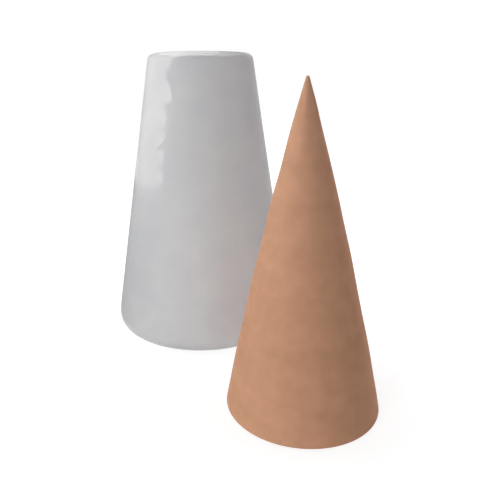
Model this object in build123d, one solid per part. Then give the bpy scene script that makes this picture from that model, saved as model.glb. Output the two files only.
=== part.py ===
from build123d import *
import math
import os

# A potter's drop-out mould for a cone, and the hollow clay cone that is cast in it.
# The mould stands on its open mouth, and the cone stands clear of it, in front and to one side.
# Units are millimetres, +Z is up, and the origin is on the table under the middle of the pair.

os.makedirs("parts", exist_ok=True)

# Driving dimensions of the cast cone
cone_base_radius = 47.2
cone_height = 200.0
flank_radius = 2320.0  # the sides belly out a little, along one long arc from foot to tip
tip_radius = 1.1
cone_wall = 5.5
hollow_tip_radius = 4.0  # clay gathers in the point, so the hollow ends blunter than the outside
cone_foot_round = 0.8
cone_lip_round = 1.2

# Driving dimensions of the plaster mould
release_gap = 0.4  # the cast shrinks away from the plaster by this much before it comes out
mouth_wall = 25.4
crown_thickness = 18.7
mould_top_radius = 40.8
shoulder_round = 5.6
mould_foot_round = 11.0  # a broad round, so that the plaster doesn't chip where the mould is stood down
mouth_round = 0.8

# How the pair stands: the gap between the two feet, and the way from the mould to the cone
standing_gap = 24.3
standing_angle = -62.3

# Sizes that follow
mould_base_radius = cone_base_radius + release_gap + mouth_wall
mould_height = cone_height + release_gap + crown_thickness


def flank_centre():
    """Centre of the flank's arc, which passes through the foot and runs into the tip's ball."""
    foot = Vector(cone_base_radius, 0)
    ball = Vector(0, cone_height - tip_radius)
    chord = ball - foot
    ball_reach = flank_radius - tip_radius
    along = (flank_radius**2 - ball_reach**2 + chord.length**2) / (2 * chord.length)
    inward = Vector(-chord.Y, chord.X).normalized()
    return foot + chord.normalized() * along + inward * math.sqrt(flank_radius**2 - along**2)


def pointed_face(offset, ball_radius, start_z):
    """Half section of a pointed form whose flank lies offset outside the cone's skin.

    All such flanks share one centre, so the wall between two of them is even all the way up.
    """
    centre = flank_centre()
    reach = flank_radius + offset
    start = Vector(centre.X + math.sqrt(reach**2 - (start_z - centre.Y) ** 2), start_z)
    ball = Vector(0, centre.Y + math.sqrt((reach - ball_radius) ** 2 - centre.X**2))
    tangent = centre + (ball - centre).normalized() * reach
    flank_middle = centre + ((start + tangent) / 2 - centre).normalized() * reach
    top = ball + Vector(0, ball_radius)
    tip_middle = ball + ((tangent + top) / 2 - ball).normalized() * ball_radius
    outline = [
        Line((0, start_z), start),
        ThreePointArc(start, flank_middle, tangent),
        ThreePointArc(tangent, tip_middle, top),
        Line(top, (0, start_z)),
    ]
    return make_face(outline)


def foot_corners(section):
    """Corners of a half section where it stands on the table, from the axis outwards."""
    return section.vertices().group_by(Axis.Y)[0].sort_by(Axis.X)


def cone_section():
    """Half section of the hollow clay cone: an even wall, open and trimmed level at its foot."""
    section = pointed_face(0, tip_radius, 0) - pointed_face(-cone_wall, hollow_tip_radius, -cone_wall)
    section = fillet(foot_corners(section)[0], cone_lip_round)
    return fillet(foot_corners(section)[-1], cone_foot_round)


def mould_section():
    """Half section of the block of plaster: a blunt taper, with the cone's form hollowed out of its mouth."""
    outline = Polyline(
        (0, 0),
        (mould_base_radius, 0),
        (mould_top_radius, mould_height),
        (0, mould_height),
        close=True,
    )
    section = make_face(outline)
    section -= pointed_face(release_gap, tip_radius + release_gap, -mouth_wall)
    shoulder = section.vertices().group_by(Axis.Y)[-1].sort_by(Axis.X)[-1]
    section = fillet(shoulder, shoulder_round)
    section = fillet(foot_corners(section)[-1], mould_foot_round)
    return fillet(foot_corners(section)[0], mouth_round)


def widest(section):
    """Largest radius of a half section, which its rounded foot makes a little less than its corner's."""
    return section.bounding_box().max.X


def middle(mould_edge, cone_edge, cone_place):
    """Middle of the pair along one axis, measured from the mould's own axis."""
    low = min(-mould_edge, cone_place - cone_edge)
    high = max(mould_edge, cone_place + cone_edge)
    return (low + high) / 2


def spin(section, x, y):
    """Solid of revolution of a half section about the upright axis at x, y."""
    return Pos(x, y, 0) * revolve(Plane.XZ * section, axis=Axis.Z)


mould_half = mould_section()
cone_half = cone_section()
mould_edge = widest(mould_half)
cone_edge = widest(cone_half)
axis_distance = mould_edge + standing_gap + cone_edge
cone_from_mould_x = axis_distance * math.cos(math.radians(standing_angle))
cone_from_mould_y = axis_distance * math.sin(math.radians(standing_angle))
mould_x = -middle(mould_edge, cone_edge, cone_from_mould_x)
mould_y = -middle(mould_edge, cone_edge, cone_from_mould_y)

export_step(spin(mould_half, mould_x, mould_y), "parts/plaster_mould.step")
export_step(spin(cone_half, mould_x + cone_from_mould_x, mould_y + cone_from_mould_y), "parts/cast_cone.step")
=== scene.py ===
import math

import bpy
import numpy as np
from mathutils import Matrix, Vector


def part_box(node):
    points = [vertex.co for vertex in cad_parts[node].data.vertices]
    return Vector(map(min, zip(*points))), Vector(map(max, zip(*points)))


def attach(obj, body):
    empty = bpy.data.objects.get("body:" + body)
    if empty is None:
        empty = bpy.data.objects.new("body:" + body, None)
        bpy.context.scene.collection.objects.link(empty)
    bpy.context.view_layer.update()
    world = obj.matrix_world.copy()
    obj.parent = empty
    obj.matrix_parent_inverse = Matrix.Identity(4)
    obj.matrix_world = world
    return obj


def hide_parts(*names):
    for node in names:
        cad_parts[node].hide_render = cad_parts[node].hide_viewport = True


# A potter's drop-out mould of polished plaster, and the hollow clay cone that it casts.
# Both are turned forms: an outline of arcs and lines, carried once round an upright axis.

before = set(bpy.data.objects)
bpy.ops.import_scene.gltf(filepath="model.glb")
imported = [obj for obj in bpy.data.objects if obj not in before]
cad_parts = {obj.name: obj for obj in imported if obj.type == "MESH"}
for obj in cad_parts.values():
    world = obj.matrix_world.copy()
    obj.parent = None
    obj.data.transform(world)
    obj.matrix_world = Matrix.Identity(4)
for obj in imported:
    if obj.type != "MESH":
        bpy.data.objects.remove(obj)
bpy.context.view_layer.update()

MM = 0.001
UPWARD = math.pi / 2
DOWNWARD = -math.pi / 2

# Sizes shared with the solids
CONE_BASE_RADIUS = 47.2 * MM
FLANK_RADIUS = 2320 * MM
TIP_RADIUS = 1.1 * MM
CONE_WALL = 5.5 * MM
HOLLOW_TIP_RADIUS = 4.0 * MM
CONE_FOOT_ROUND = 0.8 * MM
CONE_LIP_ROUND = 1.2 * MM
RELEASE_GAP = 0.4 * MM
MOUTH_WALL = 25.4 * MM
MOULD_TOP_RADIUS = 40.8 * MM
SHOULDER_ROUND = 5.6 * MM
MOULD_FOOT_ROUND = 11.0 * MM
MOUTH_ROUND = 0.8 * MM
MOULD_BASE_RADIUS = CONE_BASE_RADIUS + RELEASE_GAP + MOUTH_WALL

# Where the two pieces stand and how tall they are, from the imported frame
mould_low, mould_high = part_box("plaster_mould")
cone_low, cone_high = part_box("cast_cone")
mould_axis = (np.array(mould_low) + np.array(mould_high))[:2] / 2
cone_axis = (np.array(cone_low) + np.array(cone_high))[:2] / 2
mould_height = mould_high[2]
cone_height = cone_high[2]

# Faces round the girth, and the finish of each stretch of an outline
MOULD_AROUND = 320
CONE_AROUND = 232
OUTSIDE = 0
INSIDE = 1

# How bright the room and the table look to the camera and in gloss
SEEN_WHITE = 1.0


def line(start, end, rings):
    """Points spaced evenly along a straight run from start to end, as (radius, height) rows."""
    share = np.linspace(0, 1, rings)[:, None]
    return np.array(start) * (1 - share) + np.array(end) * share


def arc(centre, radius, first, last, rings):
    """Points spaced evenly round a circle: centre + radius * (cos, sin), first angle to last."""
    angle = np.linspace(first, last, rings)
    return np.array(centre) + radius * np.column_stack([np.cos(angle), np.sin(angle)])


def angle_from(centre, point):
    """Direction from centre to point, measured up from the outward radius."""
    return math.atan2(point[1] - centre[1], point[0] - centre[0])


def eased(share):
    """Smooth step of a share from 0 to 1: 3 share^2 - 2 share^3, which is level at both ends."""
    return share * share * (3 - 2 * share)


def cone_flank_centre():
    """Centre of the long flank arc, which passes through the foot and runs into the tip's ball.

    So it lies FLANK_RADIUS from the foot and FLANK_RADIUS - TIP_RADIUS from the middle of the ball.
    """
    foot = np.array([CONE_BASE_RADIUS, 0.0])
    ball = np.array([0.0, cone_height - TIP_RADIUS])
    chord = ball - foot
    length = np.hypot(*chord)
    ball_reach = FLANK_RADIUS - TIP_RADIUS
    along = (FLANK_RADIUS**2 - ball_reach**2 + length**2) / (2 * length)
    inward = np.array([-chord[1], chord[0]]) / length
    return foot + chord / length * along + inward * math.sqrt(FLANK_RADIUS**2 - along**2)


FLANK_CENTRE = cone_flank_centre()


def ball_on_axis(reach):
    """Point of the axis that lies reach away from the flank's centre: the middle of a rounded tip."""
    return np.array([0.0, FLANK_CENTRE[1] + math.sqrt(reach**2 - FLANK_CENTRE[0] ** 2)])


def round_at_foot(reach, radius):
    """Middle of a foot rounding that touches the table and lies reach away from the flank's centre."""
    return np.array([FLANK_CENTRE[0] + math.sqrt(reach**2 - (radius - FLANK_CENTRE[1]) ** 2), radius])


def mould_outline():
    """Half outline of the mould, from the middle of its top round to the tip of its cavity.

    It runs over the top, the shoulder, the straight wall, the foot, the ring round the mouth, the
    mouth's rounding, the cavity's flank and its tip. The circles of the shoulder and the foot touch
    the wall, whose normal leans up by the draft angle.
    """
    draft = math.atan2(MOULD_BASE_RADIUS - MOULD_TOP_RADIUS, mould_height)
    shoulder_inset = SHOULDER_ROUND * (1 - math.sin(draft)) / math.cos(draft)
    foot_inset = MOULD_FOOT_ROUND * (1 + math.sin(draft)) / math.cos(draft)
    shoulder = np.array([MOULD_TOP_RADIUS - shoulder_inset, mould_height - SHOULDER_ROUND])
    foot = np.array([MOULD_BASE_RADIUS - foot_inset, MOULD_FOOT_ROUND])
    wall_normal = np.array([math.cos(draft), math.sin(draft)])
    wall_top = shoulder + SHOULDER_ROUND * wall_normal
    wall_foot = foot + MOULD_FOOT_ROUND * wall_normal
    cavity_reach = FLANK_RADIUS + RELEASE_GAP
    cavity_tip = TIP_RADIUS + RELEASE_GAP
    mouth = round_at_foot(cavity_reach + MOUTH_ROUND, MOUTH_ROUND)
    ball = ball_on_axis(cavity_reach - cavity_tip)
    low = angle_from(FLANK_CENTRE, mouth)
    high = angle_from(FLANK_CENTRE, ball)
    return [
        (OUTSIDE, line((0, mould_height), (shoulder[0], mould_height), rings=16)),
        (OUTSIDE, arc(shoulder, SHOULDER_ROUND, UPWARD, draft, rings=18)),
        (OUTSIDE, line(wall_top, wall_foot, rings=130)),
        (OUTSIDE, arc(foot, MOULD_FOOT_ROUND, draft, DOWNWARD, rings=26)),
        (INSIDE, line((foot[0], 0), (mouth[0], 0), rings=8)),
        (INSIDE, arc(mouth, MOUTH_ROUND, DOWNWARD, low - math.pi, rings=8)),
        (INSIDE, arc(FLANK_CENTRE, cavity_reach, low, high, rings=70)),
        (INSIDE, arc(ball, cavity_tip, high, UPWARD, rings=8)),
    ]


def cone_outline():
    """Half outline of the cone, from its tip down the outside and up the hollow.

    It runs over the tip's ball, the bellied flank, the foot's rounding, the trimmed rim, the lip's
    rounding, the hollow's flank and its blunter tip.
    """
    hollow_reach = FLANK_RADIUS - CONE_WALL
    tip = ball_on_axis(FLANK_RADIUS - TIP_RADIUS)
    foot = round_at_foot(FLANK_RADIUS - CONE_FOOT_ROUND, CONE_FOOT_ROUND)
    lip = round_at_foot(hollow_reach + CONE_LIP_ROUND, CONE_LIP_ROUND)
    hollow_tip = ball_on_axis(hollow_reach - HOLLOW_TIP_RADIUS)
    tip_angle = angle_from(FLANK_CENTRE, tip)
    foot_angle = angle_from(FLANK_CENTRE, foot)
    lip_angle = angle_from(FLANK_CENTRE, lip)
    hollow_angle = angle_from(FLANK_CENTRE, hollow_tip)
    return [
        (OUTSIDE, arc(tip, TIP_RADIUS, UPWARD, tip_angle, rings=8)),
        (OUTSIDE, arc(FLANK_CENTRE, FLANK_RADIUS, tip_angle, foot_angle, rings=180)),
        (OUTSIDE, arc(foot, CONE_FOOT_ROUND, foot_angle, DOWNWARD, rings=8)),
        (INSIDE, line((foot[0], 0), (lip[0], 0), rings=7)),
        (INSIDE, arc(lip, CONE_LIP_ROUND, DOWNWARD, lip_angle - math.pi, rings=8)),
        (INSIDE, arc(FLANK_CENTRE, hollow_reach, lip_angle, hollow_angle, rings=90)),
        (INSIDE, arc(hollow_tip, HOLLOW_TIP_RADIUS, hollow_angle, UPWARD, rings=10)),
    ]


def hand_waves(rings, angle, girth_radius, wave_length, stretch, depth, seed):
    """Soft unevenness left by hand: a sum of cosine waves that run every way over the surface.

    Each wave has a whole number of crests round the girth, so the sum closes on itself. Up the piece
    the waves are stretch times longer. Depth is the root mean square of the sum, and each run draws
    the same waves.
    """
    count = 40
    shortest = 0.7
    longest = 1.5
    draw = np.random.default_rng(seed)
    heading = draw.uniform(0, 2 * math.pi, count)
    pitch = 2 * math.pi / (wave_length * draw.uniform(shortest, longest, count))
    phase = draw.uniform(0, 2 * math.pi, count)
    crests = np.round(pitch * np.cos(heading) * girth_radius)
    climb = pitch * np.sin(heading) / stretch
    run = np.concatenate([[0], np.cumsum(np.hypot(*np.diff(rings, axis=0).T))])
    waves = np.cos(run[:, None, None] * climb + angle[None, :, None] * crests + phase)
    return waves.sum(axis=2) * depth * math.sqrt(2 / count)


def outward(rings):
    """Outward normal of an outline in its own plane: its way of travel, turned a quarter to the left."""
    travel = np.gradient(rings, axis=0)
    travel /= np.hypot(*travel.T)[:, None]
    return np.column_stack([-travel[:, 1], travel[:, 0]])


def placed(name, data):
    """New object of the scene that holds a mesh, a lamp or a camera."""
    thing = bpy.data.objects.new(name, data)
    bpy.context.collection.objects.link(thing)
    return thing


def turned_piece(name, outline, axis, around, waves, finishes):
    """Closed surface of revolution about an upright axis: (radius * cos, radius * sin, height).

    The outline starts and ends on the axis, where a fan of triangles closes the pole. Each wave set
    moves the outside along its normal, faded out towards the foot and the top, so that the piece
    stands level.
    """
    foot_fade = 14 * MM
    top_fade = 18 * MM
    rings = np.concatenate([outline[0][1]] + [stretch[1:] for _, stretch in outline[1:]])
    finish = np.concatenate([np.full(len(stretch) - 1, zone) for zone, stretch in outline])
    angle = np.linspace(0, 2 * math.pi, around, endpoint=False)
    level = rings[:, 1]
    share = np.clip(level / foot_fade, 0, 1) * np.clip((level.max() - level) / top_fade, 0, 1)
    share *= np.append(finish, INSIDE) == OUTSIDE
    lift = np.zeros((len(rings), around))
    for wave in waves:
        lift += hand_waves(rings, angle, **wave)
    lift *= eased(share)[:, None]
    normal = outward(rings)
    radius = rings[:, :1] + lift * normal[:, :1]
    height = rings[:, 1:] + lift * normal[:, 1:]
    x = axis[0] + radius * np.cos(angle)
    y = axis[1] + radius * np.sin(angle)
    grid = np.stack([x, y, height], axis=2)
    body = grid[1:-1].reshape(-1, 3)
    points = np.concatenate([grid[:1, 0], body, grid[-1:, 0]])
    ring = 1 + np.arange(len(body)).reshape(-1, around)
    ahead = np.roll(ring, -1, axis=1)
    quads = np.stack([ring[:-1], ring[1:], ahead[1:], ahead[:-1]], axis=2).reshape(-1, 4)
    last = len(points) - 1
    first_fan = np.column_stack([np.zeros(around, int), ring[0], ahead[0]])
    last_fan = np.column_stack([ring[-1], np.full(around, last), ahead[-1]])
    mesh = bpy.data.meshes.new(name)
    mesh.from_pydata(points, [], first_fan.tolist() + quads.tolist() + last_fan.tolist())
    mesh.polygons.foreach_set("material_index", np.repeat(finish, around))
    mesh.polygons.foreach_set("use_smooth", np.ones(len(mesh.polygons), bool))
    for material in finishes:
        mesh.materials.append(material)
    mesh.update()
    return placed(name, mesh)


def linear(hex_colour):
    """Linear red, green, blue and alpha of an sRGB hex colour, by the sRGB curve."""
    srgb = np.array([int(hex_colour[i:i + 2], 16) for i in (1, 3, 5)]) / 255
    low = srgb / 12.92
    high = ((srgb + 0.055) / 1.055) ** 2.4
    return (*np.where(srgb <= 0.04045, low, high).tolist(), 1.0)


def add(tree, kind, sockets=None, **settings):
    """Adds a shader node with its settings; sockets holds each input's value or the output feeding it."""
    node = tree.nodes.new("ShaderNode" + kind)
    for name, value in settings.items():
        setattr(node, name, value)
    for name, value in (sockets or {}).items():
        if isinstance(value, bpy.types.NodeSocket):
            tree.links.new(value, node.inputs[name])
        else:
            node.inputs[name].default_value = value
    return node


def new_material(name):
    """Empty material with its output node: returns the material, its tree and the output."""
    material = bpy.data.materials.new(name)
    material.use_nodes = True
    tree = material.node_tree
    tree.nodes.clear()
    return material, tree, add(tree, "OutputMaterial")


def polished_plaster():
    """Potter's plaster, cast against a smooth form, soaped and rubbed.

    To the eye it is pale cool grey, faintly cloudy, with a wet gloss.
    """
    material, tree, output = new_material("polished_plaster")
    cloud_size = 26 * MM
    cloud_low = 0.3
    cloud_high = 0.7
    grain_size = 2.5 * MM
    place = add(tree, "TexCoord").outputs["Object"]
    clouds = add(
        tree,
        "TexNoise",
        {"Vector": place, "Scale": 1 / cloud_size, "Detail": 3.0, "Roughness": 0.55},
    ).outputs[0]
    grain = add(tree, "TexNoise", {"Vector": place, "Scale": 1 / grain_size, "Detail": 2.0})
    share = add(tree, "MapRange", {"Value": clouds, "From Min": cloud_low, "From Max": cloud_high})
    colour = add(
        tree,
        "Mix",
        {"Factor": share.outputs[0], "A": linear("#C6C5C8"), "B": linear("#CDCCCC")},
        data_type="RGBA",
    )
    gloss = add(
        tree,
        "MapRange",
        {"Value": clouds, "From Min": cloud_low, "From Max": cloud_high, "To Min": 0.02, "To Max": 0.04},
    )
    bump = add(tree, "Bump", {"Height": grain.outputs[0], "Strength": 0.1, "Distance": 0.01 * MM})
    shader = add(
        tree,
        "BsdfPrincipled",
        {
            "Base Color": colour.outputs["Result"],
            "Roughness": gloss.outputs[0],
            "IOR": 1.33,
            "Normal": bump.outputs[0],
        },
    )
    tree.links.new(shader.outputs[0], output.inputs["Surface"])
    return material


def bare_plaster():
    """Unsealed plaster of the cavity and the mouth.

    To the eye it is chalky and dead matt, a little warm where clay has lain against it.
    """
    material, tree, output = new_material("bare_plaster")
    stain_size = 30 * MM
    grain_size = 1.2 * MM
    place = add(tree, "TexCoord").outputs["Object"]
    stain = add(tree, "TexNoise", {"Vector": place, "Scale": 1 / stain_size, "Detail": 4.0})
    grain = add(tree, "TexNoise", {"Vector": place, "Scale": 1 / grain_size, "Detail": 2.0})
    share = add(tree, "MapRange", {"Value": stain.outputs[0], "From Min": 0.35, "From Max": 0.7})
    colour = add(
        tree,
        "Mix",
        {"Factor": share.outputs[0], "A": linear("#D6D3CE"), "B": linear("#CDBFB2")},
        data_type="RGBA",
    )
    bump = add(tree, "Bump", {"Height": grain.outputs[0], "Strength": 0.4, "Distance": 0.1 * MM})
    shader = add(
        tree,
        "BsdfPrincipled",
        {
            "Base Color": colour.outputs["Result"],
            "Roughness": 0.85,
            "IOR": 1.52,
            "Normal": bump.outputs[0],
        },
    )
    tree.links.new(shader.outputs[0], output.inputs["Surface"])
    return material


def clay(name, dark, pale, band_height, grain_depth):
    """Low-fired earthenware, sponged as it turned or left as it was cast.

    To the eye it is dead matt and warm brown, softly mottled, with faint level bands.
    """
    material, tree, output = new_material(name)
    band_length = 50 * MM
    mottle_size = 7 * MM
    grain_size = 1.5 * MM
    place = add(tree, "TexCoord").outputs["Object"]
    stretched = add(
        tree,
        "Mapping",
        {"Vector": place, "Scale": (1 / band_length, 1 / band_length, 1 / band_height)},
    )
    bands = add(
        tree,
        "TexNoise",
        {"Vector": stretched.outputs[0], "Scale": 1.0, "Detail": 2.0, "Roughness": 0.5},
    )
    mottle = add(
        tree,
        "TexNoise",
        {"Vector": place, "Scale": 1 / mottle_size, "Detail": 2.0, "Roughness": 0.4},
    )
    grain = add(tree, "TexNoise", {"Vector": place, "Scale": 1 / grain_size, "Detail": 3.0})
    both = add(tree, "Math", {0: bands.outputs[0], 1: mottle.outputs[0]}, operation="ADD")
    share = add(tree, "MapRange", {"Value": both.outputs[0], "From Min": 0.65, "From Max": 1.35})
    colour = add(
        tree,
        "Mix",
        {"Factor": share.outputs[0], "A": linear(dark), "B": linear(pale)},
        data_type="RGBA",
    )
    bump = add(tree, "Bump", {"Height": grain.outputs[0], "Strength": 0.25, "Distance": grain_depth})
    shader = add(
        tree,
        "BsdfPrincipled",
        {
            "Base Color": colour.outputs["Result"],
            "Roughness": 0.8,
            "IOR": 1.45,
            "Specular IOR Level": 0.15,
            "Normal": bump.outputs[0],
        },
    )
    tree.links.new(shader.outputs[0], output.inputs["Surface"])
    return material


def mould():
    """The plaster mould: an even taper, rubbed by hand, so that its gloss breaks up in soft waves."""
    girth_radius = 58 * MM
    waves = [
        dict(girth_radius=girth_radius, wave_length=42 * MM, stretch=2, depth=0.04 * MM, seed=3),
        dict(girth_radius=girth_radius, wave_length=15 * MM, stretch=4, depth=0.008 * MM, seed=5),
    ]
    finishes = [polished_plaster(), bare_plaster()]
    piece = turned_piece("mould_block", mould_outline(), mould_axis, MOULD_AROUND, waves, finishes)
    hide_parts("plaster_mould")
    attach(piece, "mould")


def cone():
    """The clay cone: sponged smooth, with a sharp tip and a foot trimmed level."""
    waves = [
        dict(girth_radius=30 * MM, wave_length=40 * MM, stretch=1, depth=0.1 * MM, seed=7),
    ]
    finishes = [
        clay("sponged_clay", "#B48567", "#C29072", band_height=14 * MM, grain_depth=0.08 * MM),
        clay("unwiped_clay", "#AC7B5E", "#BF8B6C", band_height=5 * MM, grain_depth=0.2 * MM),
    ]
    piece = turned_piece("clay_cone", cone_outline(), cone_axis, CONE_AROUND, waves, finishes)
    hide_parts("cast_cone")
    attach(piece, "cone")


def seen_rays(tree):
    """1 where the camera looks straight or by way of gloss or glass, 0 for light that surfaces gather."""
    path = add(tree, "LightPath").outputs
    straight = path["Is Camera Ray"]
    gloss = path["Is Glossy Ray"]
    glass = path["Is Transmission Ray"]
    either = add(tree, "Math", {0: straight, 1: gloss}, operation="MAXIMUM").outputs[0]
    return add(tree, "Math", {0: either, 1: glass}, operation="MAXIMUM").outputs[0]


def white_room(around, from_behind):
    """World that looks white and lights the pair softly: an even light, and more of it from behind.

    The light from behind fades with the cosine of the angle away from straight back.
    """
    straight_back = (0, 1, 0)
    world = bpy.data.worlds.new("white_room")
    world.use_nodes = True
    bpy.context.scene.world = world
    tree = world.node_tree
    tree.nodes.clear()
    towards = add(tree, "TexCoord").outputs["Generated"]
    facing = add(tree, "VectorMath", {0: towards, 1: straight_back}, operation="DOT_PRODUCT")
    behind = add(tree, "Math", {0: facing.outputs["Value"], 1: 0.0}, operation="MAXIMUM").outputs[0]
    light = add(tree, "Math", {0: behind, 1: from_behind, 2: around}, operation="MULTIPLY_ADD").outputs[0]
    strength = add(tree, "Mix", {"Factor": seen_rays(tree), "A": light, "B": SEEN_WHITE})
    background = add(tree, "Background", {"Color": linear("#FFFFFF"), "Strength": strength.outputs[0]})
    output = add(tree, "OutputWorld")
    tree.links.new(background.outputs[0], output.inputs["Surface"])


def soft_box(name, middle, facing, width, height, glow, tint):
    """Flat lamp of even glow, where 1 is as bright as white, left out of the picture and the gloss."""
    lamp = bpy.data.lights.new(name, "AREA")
    lamp.shape = "RECTANGLE"
    lamp.size = width
    lamp.size_y = height
    lamp.energy = math.pi * width * height * glow
    lamp.color = linear(tint)[:3]
    box = placed(name, lamp)
    box.location = middle
    box.rotation_euler = Vector(facing).to_track_quat("-Z", "Y").to_euler()
    box.visible_camera = False
    box.visible_glossy = False


def stage_sheet(name, points, faces, material):
    """Thin sheet of the stage, given by its points and faces."""
    mesh = bpy.data.meshes.new(name)
    mesh.from_pydata(points, [], faces)
    mesh.materials.append(material)
    sheet = placed(name, mesh)
    return sheet


def flat_sheet(name, corners, material):
    """Flat sheet of the stage, given by its corners in turn: a floor, a lit panel or a card."""
    return stage_sheet(name, corners, [range(len(corners))], material)


def gloss_only(sheet):
    """Keeps a sheet out of the picture and out of the light on the pair: only gloss shows it."""
    sheet.visible_camera = False
    sheet.visible_diffuse = False
    sheet.visible_shadow = False


def white_floor(half_size, pool_glow, pool_radius):
    """White table: it looks white by its own glow, and a grey coat takes the pair's soft shadow.

    Round the cone its own glow is lowered by room_for_shadow, so that the shadow shows. The table also
    glows on the pair, though it is no lamp: a painted pool of light round the cone, pool_glow at its
    middle, which surfaces gather as light. Both fade outwards as exp(-(distance / pool_radius)^2). It
    lies a hair under the feet and is clear from below, so that the mouth and the hollow can be looked
    into.
    """
    material, tree, output = new_material("white_table")
    room_for_shadow = 0.22
    coat_grey = 0.3
    table_height = -0.3 * MM
    place = add(tree, "TexCoord").outputs["Object"]
    offset = add(tree, "VectorMath", {0: place, 1: (*cone_axis, 0)}, operation="SUBTRACT").outputs[0]
    away = add(tree, "VectorMath", {0: offset, 1: offset}, operation="DOT_PRODUCT").outputs["Value"]
    fall = add(tree, "Math", {0: away, 1: -1 / pool_radius**2}, operation="MULTIPLY").outputs[0]
    share = add(tree, "Math", {0: fall}, operation="EXPONENT").outputs[0]
    # painted pool of light: the table's own glow that lights the pair, strongest round the cone
    pool = add(tree, "Math", {0: share, 1: pool_glow}, operation="MULTIPLY").outputs[0]
    seen = add(
        tree,
        "Math",
        {0: share, 1: -room_for_shadow, 2: SEEN_WHITE},
        operation="MULTIPLY_ADD",
    ).outputs[0]
    strength = add(tree, "Mix", {"Factor": seen_rays(tree), "A": pool, "B": seen})
    glow = add(tree, "Emission", {"Color": linear("#FFFFFF"), "Strength": strength.outputs[0]})
    coat = add(tree, "BsdfDiffuse", {"Color": (coat_grey, coat_grey, coat_grey, 1)})
    both = add(tree, "AddShader", {0: glow.outputs[0], 1: coat.outputs[0]})
    below = add(tree, "NewGeometry").outputs["Backfacing"]
    clear = add(tree, "BsdfTransparent")
    one_sided = add(tree, "MixShader", {0: below, 1: both.outputs[0], 2: clear.outputs[0]})
    tree.links.new(one_sided.outputs[0], output.inputs["Surface"])
    turns = [(-1, -1), (1, -1), (1, 1), (-1, 1)]
    flat_sheet("table", [(x * half_size, y * half_size, table_height) for x, y in turns], material)


def ragged(run, periods, depths, seed):
    """Offsets of a torn edge along its run: the sum of depth * cosine for each period, phases drawn."""
    phase = np.random.default_rng(seed).uniform(0, 2 * math.pi, len(periods))
    return np.cos(2 * math.pi * run[:, None] / np.array(periods) + phase) @ np.array(depths)


def torn_edge(row):
    """How far forward a torn edge reaches at each row: round lobes between sharp notches, frayed.

    A lobe rises from its notch as the root of a quarter sine to its crest, and falls back in the same
    way to the next notch.
    """
    notches = np.array([0.122, 0.162, 0.2025, 0.242, 0.3035, 0.361, 0.520])
    notch_reaches = np.array([-0.1, 0.1, -0.02, -0.1, 0.08, 0.05, 0.4])
    lobe_reaches = np.array([0.35, 0.345, 0.35, 0.38, 0.54, 0.57])
    crests = np.array([0.5, 0.5, 0.75, 0.3, 0.25, 0.6])
    lobe = np.clip(np.searchsorted(notches, row, side="right") - 1, 0, len(lobe_reaches) - 1)
    place = (row - notches[lobe]) / (notches[lobe + 1] - notches[lobe])
    climb = np.minimum(place / crests[lobe], (1 - place) / (1 - crests[lobe]))
    hump = np.sqrt(np.sin(np.clip(climb, 0, 1) * math.pi / 2))
    notch = np.interp(row, notches, notch_reaches)
    fray = ragged(row, periods=[0.019, 0.011, 0.007], depths=[0.03, 0.03, 0.02], seed=4)
    return notch + (lobe_reaches[lobe] - notch) * hump + fray


def left_panel():
    """Tall soft panel on the left with torn edges, seen only in gloss: the mould's ragged highlight.

    Its foot drops towards the back as foot_rise * exp(-y / foot_reach), and its front edge is torn. The
    tears climb towards the front, because the mould's round wall turns such slanting lines level. Its
    glow fades towards the back as even_glow + middle_glow * fall_per_metre^y.
    """
    material, tree, output = new_material("soft_panel")
    x = -0.82
    back = 1.55
    high = 1.0
    high_front = -0.73
    even_glow = 0.22
    middle_glow = 3.95
    fall_per_metre = 0.17
    low_row = 0.125
    high_row = 0.44
    slant = 0.057
    slant_per_row = 0.35
    foot_rise = 0.074
    foot_reach = 0.6
    edge_points = 300
    foot_points = 120
    place = add(tree, "TexCoord").outputs["Object"]
    depth = add(tree, "SeparateXYZ", {0: place}).outputs["Y"]
    fall = add(tree, "Math", {0: fall_per_metre, 1: depth}, operation="POWER").outputs[0]
    strength = add(tree, "Math", {0: fall, 1: middle_glow, 2: even_glow}, operation="MULTIPLY_ADD")
    glow = add(tree, "Emission", {"Color": linear("#FFFEF6"), "Strength": strength.outputs[0]})
    tree.links.new(glow.outputs[0], output.inputs["Surface"])
    row = np.linspace(low_row, high_row, edge_points)
    edge_y = -torn_edge(row)
    edge_z = row - (slant + slant_per_row * row) * edge_y
    foot_y = np.linspace(back, edge_y[0], foot_points)
    foot_z = foot_rise * np.exp(-foot_y / foot_reach)
    foot_z += edge_z[0] - foot_z[-1]
    foot_run = foot_y - edge_y[0]
    foot_z += ragged(foot_run, periods=[0.31, 0.17, 0.07], depths=[0.003, 0.003, 0.002], seed=2)
    side_y = np.concatenate([foot_y, edge_y, [high_front, back]])
    side_z = np.concatenate([foot_z, edge_z, [high, high]])
    corners = np.column_stack([0 * side_y + x, side_y, side_z])
    gloss_only(flat_sheet("soft_panel", corners, material))


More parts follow.
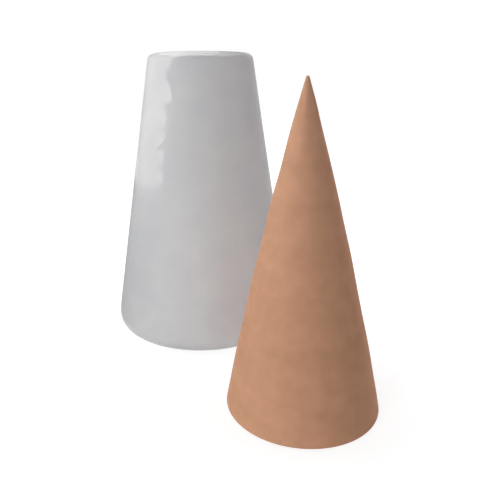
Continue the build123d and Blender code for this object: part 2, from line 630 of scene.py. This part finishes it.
def ceiling(name, front_x, back_x, front_glow):
    """Part of a lit ceiling, seen only in gloss: the light strip along the mould's shoulder.

    It spans front_x at its front edge and back_x at its back. Its glow falls towards the back as
    front_glow * exp(-((y - brightest) / reach)^2).
    """
    material, tree, output = new_material(name)
    brightest = -0.9
    reach = 1.5
    front = -0.73
    back = 1.2
    height = 1.1
    place = add(tree, "TexCoord").outputs["Object"]
    depth = add(tree, "SeparateXYZ", {0: place}).outputs["Y"]
    behind = add(tree, "Math", {0: depth, 1: brightest}, operation="SUBTRACT").outputs[0]
    square = add(tree, "Math", {0: behind, 1: behind}, operation="MULTIPLY").outputs[0]
    fall = add(tree, "Math", {0: square, 1: -1 / reach**2}, operation="MULTIPLY").outputs[0]
    share = add(tree, "Math", {0: fall}, operation="EXPONENT").outputs[0]
    strength = add(tree, "Math", {0: share, 1: front_glow}, operation="MULTIPLY").outputs[0]
    glow = add(tree, "Emission", {"Color": linear("#FFFFFF"), "Strength": strength})
    tree.links.new(glow.outputs[0], output.inputs["Surface"])
    corners = [
        (front_x[0], front, height),
        (front_x[1], front, height),
        (back_x[1], back, height),
        (back_x[0], back, height),
    ]
    gloss_only(flat_sheet(name, corners, material))


def grey_screen():
    """Grey card bent round the back and the left, seen only in gloss: it keeps the mould's edges grey.

    It is turned about the mould's axis, from azimuth first to last measured from straight back: a
    shallow dish out from the mould's foot, then a wall, low on the left, where the panel shows over
    it, and taller behind.
    """
    material, tree, output = new_material("grey_card")
    card = add(tree, "Emission", {"Color": linear("#B8B8B9"), "Strength": 1.0})
    tree.links.new(card.outputs[0], output.inputs["Surface"])
    first = math.radians(-120)
    last = math.radians(140)
    rise_from = math.radians(-32)
    rise_to = math.radians(-18)
    steps = 64
    dish_radius = 0.085
    dish_foot = 1 * MM
    dish_rim = 0.05
    wall_radius = 0.26
    low_top = 0.095
    high_top = 0.27
    azimuth = np.linspace(first, last, steps)
    rise = np.clip((azimuth - rise_from) / (rise_to - rise_from), 0, 1)
    top = low_top + (high_top - low_top) * eased(rise)
    radius = np.array([dish_radius, wall_radius, wall_radius])[:, None]
    height = np.stack([np.full(steps, dish_foot), np.full(steps, dish_rim), top])
    x = mould_axis[0] + radius * np.sin(azimuth)
    y = mould_axis[1] + radius * np.cos(azimuth)
    points = np.stack([x, y, height], axis=2).reshape(-1, 3)
    ring = np.arange(len(points)).reshape(-1, steps)
    quads = np.stack([ring[:-1, :-1], ring[:-1, 1:], ring[1:, 1:], ring[1:, :-1]], axis=2)
    gloss_only(stage_sheet("grey_screen", points, quads.reshape(-1, 4).tolist(), material))


def camera():
    """Camera at the photograph's place: level with the cone's tip, looking slightly down.

    The lens is shifted for the photograph's framing. Pitch and roll are in radians.
    """
    image_size = 500
    focal_px = 528.5
    middle_px = (230, 190)
    down_pitch = 0.1987
    roll = -0.0085
    from_mould = np.array([0.02236, -0.42742])
    height = 0.19587
    data = bpy.data.cameras.new("camera")
    data.sensor_width = 36
    data.lens = focal_px * data.sensor_width / image_size
    data.shift_x = (image_size / 2 - middle_px[0]) / image_size
    data.shift_y = (middle_px[1] - image_size / 2) / image_size
    eye = placed("camera", data)
    eye.location = (*(mould_axis + from_mould), height)
    eye.rotation_mode = "ZYX"
    eye.rotation_euler = (math.pi / 2 - down_pitch, 0, roll)
    bpy.context.scene.camera = eye


mould()
cone()
white_room(around=0.04, from_behind=0.96)
white_floor(half_size=3.0, pool_glow=0.3, pool_radius=0.15)
soft_box(
    "key_box",
    middle=(-0.3, -0.525, 0.135),
    facing=(0.6, 0.8, 0),
    width=0.25,
    height=0.23,
    glow=12.7,
    tint="#FCFEFF",
)
soft_box(
    "left_box",
    middle=(-0.3, 0.15, 0.4),
    facing=(1, 0, 0),
    width=0.6,
    height=0.4,
    glow=1.71,
    tint="#FCFEFF",
)
soft_box(
    "right_box",
    middle=(0.45, 0.01, 0.21),
    facing=(-1, 0, 0),
    width=0.4,
    height=0.38,
    glow=2.22,
    tint="#FFFBFC",
)
soft_box(
    "top_box",
    middle=(-0.1, -0.3, 0.6),
    facing=(0, 0, -1),
    width=0.4,
    height=0.4,
    glow=0.57,
    tint="#FFFFFF",
)
left_panel()
ceiling("left_ceiling", front_x=(-0.9, 0.51), back_x=(-0.9, 0.05), front_glow=15)
ceiling("right_ceiling", front_x=(0.51, 1.25), back_x=(0.05, 1.0), front_glow=9)
grey_screen()
camera()
bpy.context.scene.view_settings.view_transform = "Standard"
